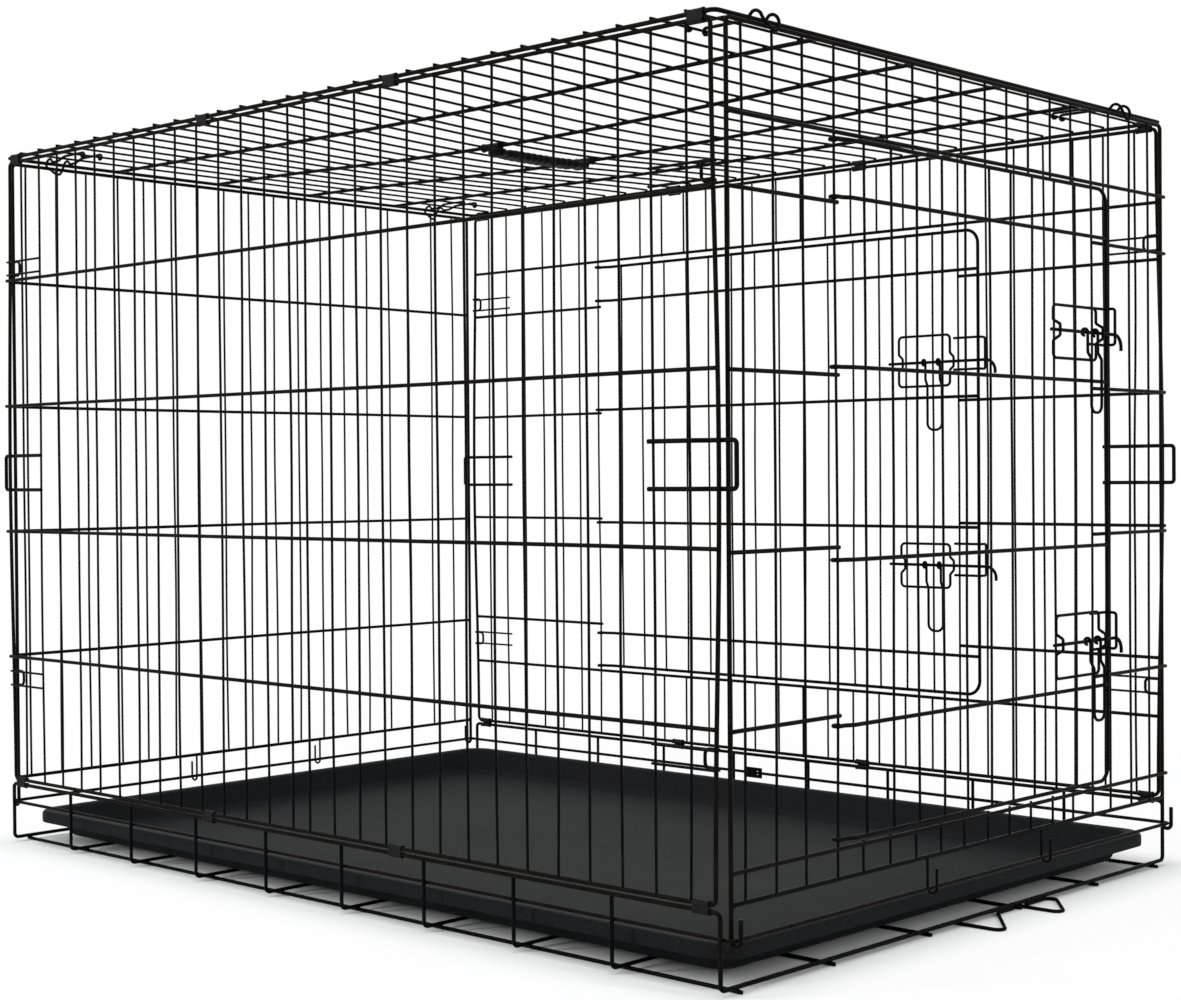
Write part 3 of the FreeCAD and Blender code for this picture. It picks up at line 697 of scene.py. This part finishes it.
def weld_groups(settings):
    """For each body, pairs of groups of wires that are welded to each other."""
    def drawn(name, *kinds):
        return [rods(node, bow_of(node, settings)) for node in (f"{name}_{k}" for k in kinds)]

    pairs = {}
    for name in ("near", "far"):
        outer = 0 if name == "near" else 1
        legs = sides(name + "_border", Z_AXIS, Y_AXIS)
        for leg in legs:
            leg.leg = 1 if leg.start.x > 0 else -1
        border = sides(name + "_border", X_AXIS, Y_AXIS) + legs
        uprights, rails, braces = drawn(name, "uprights", "rails", "braces")
        loops = sides(name + "_c_loops", X_AXIS, Y_AXIS)
        stops = sides(name + "_stops", X_AXIS, Y_AXIS, outer, radius=BORDER_RADIUS)
        pairs[name + "_side"] = [(uprights, rails), (uprights, border), (rails, border),
                                 (braces, border), (uprights, braces), (loops, border),
                                 (uprights, stops)]
        if name == "far":
            staples = sides("far_staples", X_AXIS, Y_AXIS, 0, radius=KEEPER_RADIUS)
            pairs["far_side"].append((uprights, staples))
    top_border = sides("top_border", X_AXIS, Z_AXIS) + sides("top_border", Y_AXIS, Z_AXIS)
    cross, long_wires = drawn("top", "cross_wires", "long_wires")
    pairs["top"] = [(cross, long_wires), (cross, top_border), (long_wires, top_border)]
    for name, inner in (("front", 0), ("rear", 1)):
        border = sides(name + "_border", Z_AXIS, X_AXIS, inner, radius=BORDER_RADIUS)
        border += sides(name + "_border", Y_AXIS, X_AXIS, inner, (1,), BORDER_RADIUS)
        uprights, rails, foot = drawn(name, "uprights", "rails", "foot")
        hooks = sides(name + "_hooks", Z_AXIS, X_AXIS, inner, (0,), UPRIGHT_RADIUS)
        pairs[name + "_end"] = [(uprights, rails), (uprights, border), (uprights, foot),
                                (rails, border), (foot, border), (hooks, foot)]
        if name == "front":
            staples = sides("front_staples", Y_AXIS, X_AXIS, 0, radius=KEEPER_RADIUS)
            pairs["front_end"].append((uprights, staples))
    for name, along, flat in (("front_door", Y_AXIS, X_AXIS), ("side_door", X_AXIS, Y_AXIS)):
        frame_bars = sides(name + "_frame", along, flat, 1, radius=RAIL_RADIUS)
        rails = sides(name + "_rails", along, flat, 1, (0,), RAIL_RADIUS)
        latch_side = sides(name + "_frame", Z_AXIS, flat, 1, (1,), RAIL_RADIUS)
        keepers = sides(name + "_keepers", along, flat, 0, radius=KEEPER_RADIUS)
        uprights = drawn(name, "uprights")[0]
        pairs[name] = [(uprights, frame_bars + rails), (uprights, keepers), (rails, latch_side)]
    legs = sides("floor_cross_wires", Z_AXIS, X_AXIS, radius=LEG_RADIUS)
    feet = sides("floor_cross_wires", Y_AXIS, X_AXIS, ends=(0,), radius=LEG_RADIUS)
    rim = sides("floor_rim", X_AXIS, Y_AXIS, ends=(1,))
    ledge = sides("floor_ledge", X_AXIS, Z_AXIS)
    pairs["floor"] = [(legs, rim), (legs, ledge), (feet, drawn("floor", "runners")[0])]
    return pairs


class CRATE_OT_weld_wires(Operator):
    """Adds the weld splash wherever two wires of one panel cross"""
    bl_idname = "crate.weld_wires"
    bl_label = "Weld wires"

    def execute(self, context):
        for body, pairs in weld_groups(context.scene.crate_wire).items():
            bm = bmesh.new()
            for group, others in pairs:
                add_welds(bm, group, others)
            piece(body + "_welds", bm, body, "wire")
        return {"FINISHED"}


# ---- top hooks
def smooth_path(points, bend=0.003, turns=5):
    """Path through the points with every corner rounded off."""
    path = [points[0]]
    for before, here, after in zip(points, points[1:], points[2:]):
        to_before, to_after = before - here, after - here
        reach = min(bend, to_before.length * 0.45, to_after.length * 0.45)
        first = here + to_before.normalized() * reach
        last = here + to_after.normalized() * reach
        for k in range(turns + 1):
            t = k / turns
            path.append(first * (1 - t) ** 2 + here * (2 * t * (1 - t)) + last * t ** 2)
    path.append(points[-1])
    return path


def add_bent_wire(bm, path, radius, count=12):
    """Round wire along a path; its two ends are rounded over."""
    side = square_axes((path[1] - path[0]).normalized())[0]
    rings = []
    for index, point in enumerate(path):
        before, after = path[max(index - 1, 0)], path[min(index + 1, len(path) - 1)]
        along = (after - before).normalized()
        side = (side - along * side.dot(along)).normalized()
        up = along.cross(side)
        caps = [(0.0, 1.0)]
        if index in (0, len(path) - 1):
            outward = radius if index else -radius
            caps += [(0.36 * outward, 0.8), (0.54 * outward, 0.45)]
        for push, share in caps if index else caps[::-1]:
            rings.append(add_ring(bm, point + along * push, side, up, radius * share, count))
    add_skin(bm, rings)


# A hook's arm from its eye, over the border and down: outwards and up from the eye
HOOK_ARM = ((0.039, 0.0027), (0.052, -0.0012), (0.064, -0.0012), (0.0675, 0.0027),
            (0.0714, 0.0032), (0.0758, 0.0008), (0.0785, -0.0045))
HOOK_FOOT = (0.0785, -0.0125)
FOOT_HALF_WIDTH = 0.0028
FOOT_SHARE = 0.3          # share of the hook's width from its high-Y arm to its foot


def hook_arm(eye, outward, turn, y):
    """Middle line of a hook's arm, from its eye round the cross wire to its drop."""
    path = []
    for k in range(10):
        angle = math.radians(-20 - 250 * k / 9)
        across = outward * turn * math.cos(angle)
        path.append(Vector((eye.x + across, y, eye.z + turn * math.sin(angle))))
    return path + [Vector((eye.x + outward * x, y, eye.z + z)) for x, z in HOOK_ARM]


class CRATE_OT_bend_top_hooks(Operator):
    """Bends the wire hooks of the top, which hump over its border and drop in front of an end"""
    bl_idname = "crate.bend_top_hooks"
    bl_label = "Bend top hooks"

    def execute(self, context):
        settings = context.scene.crate_wire
        crosses = rods("top_cross_wires")
        for node in TOP_HOOKS:
            lo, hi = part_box(node)
            outward = 1 if lo.x > 0 else -1
            inner_x = lo.x if outward > 0 else hi.x
            eye = min((wire.start for wire in crosses), key=lambda place: abs(place.x - inner_x))
            radius = settings.hook_radius
            low_y, high_y = lo.y + radius, hi.y - radius
            foot_y = high_y - FOOT_SHARE * (high_y - low_y)
            foot = Vector((eye.x + outward * HOOK_FOOT[0], foot_y, eye.z + HOOK_FOOT[1]))
            half = Vector((0, FOOT_HALF_WIDTH, 0))
            first, second = [hook_arm(eye, outward, settings.hook_eye, y) for y in (low_y, high_y)]
            path = smooth_path(first + [foot - half, foot + half] + second[::-1])
            bm = bmesh.new()
            add_bent_wire(bm, path, radius)
            piece(node + "_bent", bm, node, SLOT_OF[node], (node,), finish_for("latch"))
        return {"FINISHED"}


# ---- clips
def clip_section(radius, low_z, high_z, pinch, sheet):
    """Folded strip round two wires, as pairs of outer and inner points across and up."""
    seam = 0.0005
    turns = 12
    middle = (low_z + high_z) / 2
    span = high_z - low_z

    def flank(start, stop, side=1, steps=4):
        outline = []
        for k in range(steps + 1):
            z = start + (stop - start) * k / steps
            pinched = pinch * math.sin(math.pi * (z - low_z) / span) if span else 0.0
            outline.append((side * (radius - pinched), z))
        return outline

    def bend(z, up):
        angles = [math.pi * k / turns for k in range(1, turns)]
        return [(radius * math.cos(a), z + up * radius * math.sin(a)) for a in angles]

    outline = flank(middle - seam, low_z) + bend(low_z, -1) + flank(low_z, high_z, -1, 8)
    outline += bend(high_z, 1)[::-1] + flank(high_z, middle + seam)
    points = []
    for index, (across, up) in enumerate(outline):
        before = Vector(outline[max(index - 1, 0)])
        after = Vector(outline[min(index + 1, len(outline) - 1)])
        tangent = (after - before).normalized()
        inward = Vector((-tangent.y, tangent.x)) * sheet
        if inward.dot(Vector((across, up - min(max(up, low_z), high_z)))) > 0:
            inward = -inward
        points.append((Vector((across, up)), Vector((across, up)) + inward))
    return points


def add_clip(bm, lo, hi, inward, settings):
    """One sheet clip; its two mouths flare a little and the seam is on the inside."""
    radius = (hi.y - lo.y) / 2
    y = (lo.y + hi.y) / 2
    section = clip_section(radius, lo.z + radius, hi.z - radius, settings.pinch, settings.sheet)
    middle = (lo.z + hi.z) / 2
    stations = ((0.0, 1.03), (0.06, 1.05), (0.16, 1.0), (0.5, 0.99), (0.84, 1.0), (0.94, 1.05),
                (1.0, 1.03))
    rows = []
    for share, swell in stations:
        x = lo.x + (hi.x - lo.x) * share
        row = []
        for outer, inner in section:
            thin = outer.lerp(inner, 1.0 if 0.01 < share < 0.99 else 0.75)
            for point, grow in ((outer, swell), (thin, 1.0)):
                up = middle + (point.y - middle) * grow
                row.append(bm.verts.new((x, y + point.x * inward * grow, up)))
        rows.append(row)
    count = len(section)
    for first, second in zip(rows, rows[1:]):
        for k in range(count - 1):
            a, b = 2 * k, 2 * k + 2
            bm.faces.new((first[a], first[b], second[b], second[a]))
            bm.faces.new((first[b + 1], first[a + 1], second[a + 1], second[b + 1]))
        for k in (0, 2 * count - 2):
            bm.faces.new((first[k], first[k + 1], second[k + 1], second[k]))
    for row in (rows[0], rows[-1]):
        for k in range(count - 1):
            a = 2 * k
            bm.faces.new((row[a], row[a + 1], row[a + 3], row[a + 2]))


class CRATE_OT_fold_clips(Operator):
    """Folds the sheet clips that join the side panels to the floor and the top"""
    bl_idname = "crate.fold_clips"
    bl_label = "Fold clips"

    def execute(self, context):
        settings = context.scene.crate_clips
        for node in CLIP_NODES:
            name = node.split("_")[0]
            inward = 1 if name == "near" else -1
            bm = bmesh.new()
            for lo, hi in solids(node):
                add_clip(bm, lo, hi, inward, settings)
            obj = piece(node + "_folded", bm, name + "_side", "clip", (node,))
            crease = obj.modifiers.new("crease", "BEVEL")
            crease.width = 0.00015
            crease.segments = 2
            crease.limit_method = "ANGLE"
            crease.angle_limit = math.radians(50)
        return {"FINISHED"}


# ---- pan
PAN_CORNER = 0.03         # corner radius of the lip's outside
PAN_CORNER_INSIDE = 0.008


def rounded_ring(lo, hi, inset, radius, z, steps_x=30, steps_y=20, turns=8):
    """Points of a rounded rectangle at one height, evenly spread along its four sides."""
    low, high = inset + radius, -inset - radius
    x0, x1, y0, y1 = lo.x + low, hi.x + high, lo.y + low, hi.y + high
    centres = ((x1, y1), (x0, y1), (x0, y0), (x1, y0))

    def on_corner(index, quarters):
        angle = math.pi / 2 * quarters
        x, y = centres[index % 4]
        return Vector((x + radius * math.cos(angle), y + radius * math.sin(angle), z))

    points = []
    for index in range(4):
        points += [on_corner(index, index + k / turns) for k in range(turns + 1)]
        leave, arrive = points[-1], on_corner(index + 1, index + 1)
        steps = (steps_x, steps_y)[index % 2]
        points += [leave.lerp(arrive, k / steps) for k in range(1, steps)]
    return points


def arc_points(inset, z, radius, start, stop, count=5):
    """Arc in the pan's section, as inset and height pairs."""
    found = []
    for k in range(count + 1):
        angle = math.radians(start + (stop - start) * k / count)
        found.append((inset + radius * math.cos(angle), z + radius * math.sin(angle)))
    return found


def pan_section(base, top, s):
    """Closed section of the pan from its floor up the wall, over the lip and back underneath."""
    sheet, r, cove = s.sheet, s.lip_round, s.cove
    wall_top, wall_foot = s.wall_inset, s.wall_inset + s.wall_slope
    inner_r = r + 0.0016
    upper = arc_points(wall_foot + cove, base + sheet + cove, cove, 270, 190)
    upper += arc_points(wall_top - inner_r, top - inner_r, inner_r, 10, 90)
    upper += arc_points(r, top - r, r, 90, 180)
    lip_foot = top - s.lip_drop
    upper += [(0.0, lip_foot + 0.0008), (0.0003, lip_foot), (sheet - 0.0003, lip_foot)]
    under_r = max(r - sheet, 0.001)
    under = arc_points(sheet + under_r, top - sheet - under_r, under_r, 180, 90)
    bend = inner_r - 0.0004
    under += arc_points(wall_top - sheet - bend, top - sheet - bend, bend, 90, 10)
    under += arc_points(wall_foot + cove - 0.0006, base + cove, cove, 190, 270)
    return upper, [(sheet, lip_foot + 0.0008)] + under


class CRATE_OT_mould_pan(Operator):
    """Moulds the plastic pan with its rounded, turned-down lip"""
    bl_idname = "crate.mould_pan"
    bl_label = "Mould pan"

    def execute(self, context):
        settings = context.scene.crate_pan
        lo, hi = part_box("pan")
        upper, under = pan_section(lo.z, hi.z, settings)
        bm = bmesh.new()
        rings = []
        for inset, z in upper + under:
            radius = max(PAN_CORNER_INSIDE, PAN_CORNER - 0.45 * inset)
            rings.append([bm.verts.new(p) for p in rounded_ring(lo, hi, inset, radius, z)])
        add_skin(bm, rings, capped=False)
        for edge_ring in (rings[0], rings[-1]):
            centre = Vector(((lo.x + hi.x) / 2, (lo.y + hi.y) / 2, edge_ring[0].co.z))
            last = edge_ring
            for share in (0.8, 0.6, 0.4, 0.2):
                inner = [bm.verts.new(centre + (v.co - centre) * share) for v in edge_ring]
                join_rings(bm, last, inner)
                last = inner
            bm.faces.new(last)
        piece("pan_moulded", bm, "pan", "pan", ("pan",))
        return {"FINISHED"}


# ---- handle
STRAP_HALF_WIDTH = (0.0122, 0.0106)     # of the strap itself, and at its two necks
STRAP_HALF_HEIGHT = (0.0048, 0.0034)
STRAP_DIP = 0.0012        # how far the strap hangs in its middle, below its ends
STRAP_REACH = 0.02        # the handle is held by the long wires this near beyond its ends
NECK_PLACE, NECK_LENGTH = 0.8, 0.07     # shares of half the strap
LUMP_HEIGHT = 0.00022


def soft_oblong(centre, half_x, half_z, squareness=3.2, count=28):
    """Rounded oblong across the strap."""
    ring = []
    for k in range(count):
        angle = 2 * math.pi * k / count
        c, s = math.cos(angle), math.sin(angle)
        x = math.copysign(abs(c) ** (2 / squareness), c) * half_x
        z = math.copysign(abs(s) ** (2 / squareness), s) * half_z
        ring.append(centre + Vector((x, 0, z)))
    return ring


def add_sleeve(bm, start, end, bore, wall):
    """Ring of plastic round a wire, with a rounded bead at both mouths."""
    along = (end - start).normalized()
    side, up = square_axes(along)
    length = (end - start).length
    bead = 0.0006
    outline = [(0.0, bore), (0.0, bore + wall * 0.6), (0.0006, bore + wall + bead),
               (0.0022, bore + wall + bead), (0.0032, bore + wall)]
    outline += [(length - x, r) for x, r in outline[::-1]]
    rings = [add_ring(bm, start + along * x, side, up, r, 28) for x, r in outline]
    add_skin(bm, rings + rings[:1], capped=False)


class CRATE_OT_mould_handle(Operator):
    """Moulds the carry handle: a lumpy strap and the two sleeves that hold it to the wires"""
    bl_idname = "crate.mould_handle"
    bl_label = "Mould handle"

    def execute(self, context):
        settings = context.scene.crate_handle
        lo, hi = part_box("handle_strap")
        sleeve_lo, sleeve_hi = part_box("handle_grips")
        x, y = (lo.x + hi.x) / 2, (lo.y + hi.y) / 2
        half_length = (hi.y - lo.y) / 2
        held = [wire for wire in rods("top_long_wires")
                if abs(wire.start.y - y) < half_length + STRAP_REACH]
        shares = [(x - wire.start.x) / wire.length for wire in held]
        hang = sum(wire.start.z - wire.at(share).z for wire, share in zip(held, shares)) / len(held)
        rng = random.Random("handle")
        lumps = [(rng.uniform(14, 60), rng.uniform(0, 6.28), rng.uniform(0.3, 1)) for _ in range(7)]
        steps = 130
        sections = []
        for k in range(steps + 1):
            t = -1 + 2 * k / steps
            neck = math.exp(-((abs(t) - NECK_PLACE) / NECK_LENGTH) ** 2)
            end_round = min(1.0, (1 - abs(t)) * 11 + 0.4)
            lump = sum(size * math.sin(rate * t + phase) for rate, phase, size in lumps)
            rib = settings.rib_depth * math.sin(2 * math.pi * t * half_length / settings.rib_pitch)
            rib = (rib + lump * LUMP_HEIGHT) * (1 - neck)
            half_x, half_z = [(half - (half - narrow) * neck) * end_round + rib * 0.5
                              for half, narrow in (STRAP_HALF_WIDTH, STRAP_HALF_HEIGHT)]
            z = (lo.z + hi.z) / 2 - STRAP_DIP * (1 - t * t) - hang
            sections.append(soft_oblong(Vector((x, y + t * half_length, z)), half_x, half_z))
        bm = bmesh.new()
        add_skin(bm, [[bm.verts.new(point) for point in section] for section in sections])
        piece("handle_strap_moulded", bm, "top", "handle", ("handle_strap",))

        bm = bmesh.new()
        radius = (sleeve_hi.z - sleeve_lo.z) / 2
        for wire in held:
            ends = [wire.at((place - wire.start.x) / wire.length)
                    for place in (sleeve_lo.x, sleeve_hi.x)]
            bore = wire.radius + 0.00005
            add_sleeve(bm, ends[0], ends[1], bore, radius - bore - 0.0013)
        piece("handle_grips_moulded", bm, "top", "handle", ("handle_grips",))
        return {"FINISHED"}


# ---- stage
CLOSE_SHADOW = 0.06       # beyond the crate's rim the floor is mostly white from here on
FAR_SHADOW = 1.2          # and plain white from here on


def studio_floor(colour):
    """Pale matt floor that runs out to plain white just outside the crate's shadow."""
    f = Finish("studio_floor")
    grain = f.noise(60.0, 3.0)
    tint = f.blend(f.span(grain, 0.3, 0.7, 0.0, 0.3), colour, tuple(c * 0.97 for c in colour))
    f.surface(tint, 0.9, f.bump(grain, 0.0005, 0.1), 0.0)
    lo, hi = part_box("floor_rim")
    squares = []
    for axis in (X_AXIS, Y_AXIS):
        beyond = f.maths("SUBTRACT", f.off_middle((lo, hi), axis), (hi[axis] - lo[axis]) / 2)
        squares.append(f.maths("POWER", f.maths("MAXIMUM", beyond, 0.0), 2.0))
    reach = f.maths("SQRT", f.maths("ADD", *squares), 0.0)
    share = f.maths("ADD", f.span(reach, 0.0, CLOSE_SHADOW, 0.0, 0.75),
                    f.span(reach, CLOSE_SHADOW, FAR_SHADOW, 0.0, 0.25))
    f.white_to_lens(share)
    return f.material


def add_softbox(name, place, target, size, power):
    lamp = bpy.data.lights.new(name, "AREA")
    lamp.shape = "RECTANGLE"
    lamp.size, lamp.size_y = size
    lamp.energy = power
    obj = place_object(name, lamp)
    obj.location = place
    obj.rotation_euler = (Vector(target) - Vector(place)).to_track_quat("-Z", "Y").to_euler()


class CRATE_OT_set_stage(Operator):
    """Sets the pale floor, the soft studio light and the camera"""
    bl_idname = "crate.set_stage"
    bl_label = "Set stage"

    def execute(self, context):
        scene = context.scene
        s = scene.crate_stage
        bm = bmesh.new()
        bmesh.ops.create_grid(bm, x_segments=24, y_segments=24, size=30.0)
        mesh_object("studio_floor", bm, studio_floor(tuple(s.floor)))

        scene.world = bpy.data.worlds.new("studio")
        around = Nodes(scene.world, "Background", "World Output")
        around.put(around.shader, "Color", WHITE)
        around.put(around.shader, "Strength", s.ambient)
        around.white_to_lens()

        middle = (0.0, 0.0, 0.4)
        for name, place, size, power in (
                ("key_light", (-1.3, -2.9, 1.5), (0.35, 2.4), s.key_power),
                ("fill_light", (3.1, 0.3, 1.3), (0.35, 2.2), s.fill_power),
                ("overhead_light", (0.0, 0.0, 3.2), (2.4, 1.8), s.overhead_power)):
            add_softbox(name, place, middle, size, power)

        view = bpy.data.cameras.new("crate_view")
        view.sensor_width = 36.0
        view.lens = s.focal_length
        view.clip_start, view.clip_end = 0.05, 100.0
        scene.camera = place_object("crate_view", view)
        yaw, pitch, roll = s.camera_yaw, s.camera_pitch, s.camera_roll
        level_yaw = Vector((math.cos(yaw), math.sin(yaw), 0.0))
        ahead = level_yaw * math.cos(pitch) + Vector((0.0, 0.0, math.sin(pitch)))
        right = ahead.cross(Vector((0, 0, 1))).normalized()
        up = right.cross(ahead)
        level = Matrix((right, up, -ahead)).transposed()
        turn = level @ Matrix.Rotation(roll, 3, "Z")
        scene.camera.matrix_world = Matrix.Translation(s.camera_place) @ turn.to_4x4()
        scene.view_settings.view_transform = "Standard"
        return {"FINISHED"}


# ---- panel
OPERATORS = (
    CRATE_OT_coat_bent_wires, CRATE_OT_bow_side_borders, CRATE_OT_draw_straight_wires,
    CRATE_OT_weld_wires, CRATE_OT_bend_top_hooks, CRATE_OT_fold_clips, CRATE_OT_mould_pan,
    CRATE_OT_mould_handle, CRATE_OT_set_stage,
)
SETTINGS = {
    "crate_wire": CrateWireSettings, "crate_clips": CrateClipSettings,
    "crate_pan": CratePanSettings, "crate_handle": CrateHandleSettings,
    "crate_stage": CrateStageSettings,
}


class CRATE_PT_looks(Panel):
    """Sizes, colours and building steps of the crate"""
    bl_idname = "CRATE_PT_looks"
    bl_label = "Dog crate"
    bl_space_type = "VIEW_3D"
    bl_region_type = "UI"
    bl_category = "Crate"

    def draw(self, context):
        for group in SETTINGS:
            box = self.layout.box()
            settings = getattr(context.scene, group)
            for name in settings.__annotations__:
                box.prop(settings, name)
        for operator in OPERATORS:
            self.layout.operator(operator.bl_idname)


def register():
    for group in SETTINGS.values():
        bpy.utils.register_class(group)
    for name, group in SETTINGS.items():
        setattr(bpy.types.Scene, name, PointerProperty(type=group))
    for operator in OPERATORS:
        bpy.utils.register_class(operator)
    bpy.utils.register_class(CRATE_PT_looks)


def unregister():
    bpy.utils.unregister_class(CRATE_PT_looks)
    for operator in reversed(OPERATORS):
        bpy.utils.unregister_class(operator)
    for name, group in SETTINGS.items():
        delattr(bpy.types.Scene, name)
        bpy.utils.unregister_class(group)


def main():
    register()
    for operator in OPERATORS:
        family, step = operator.bl_idname.split(".")
        getattr(getattr(bpy.ops, family), step)()


if __name__ == "__main__":
    main()
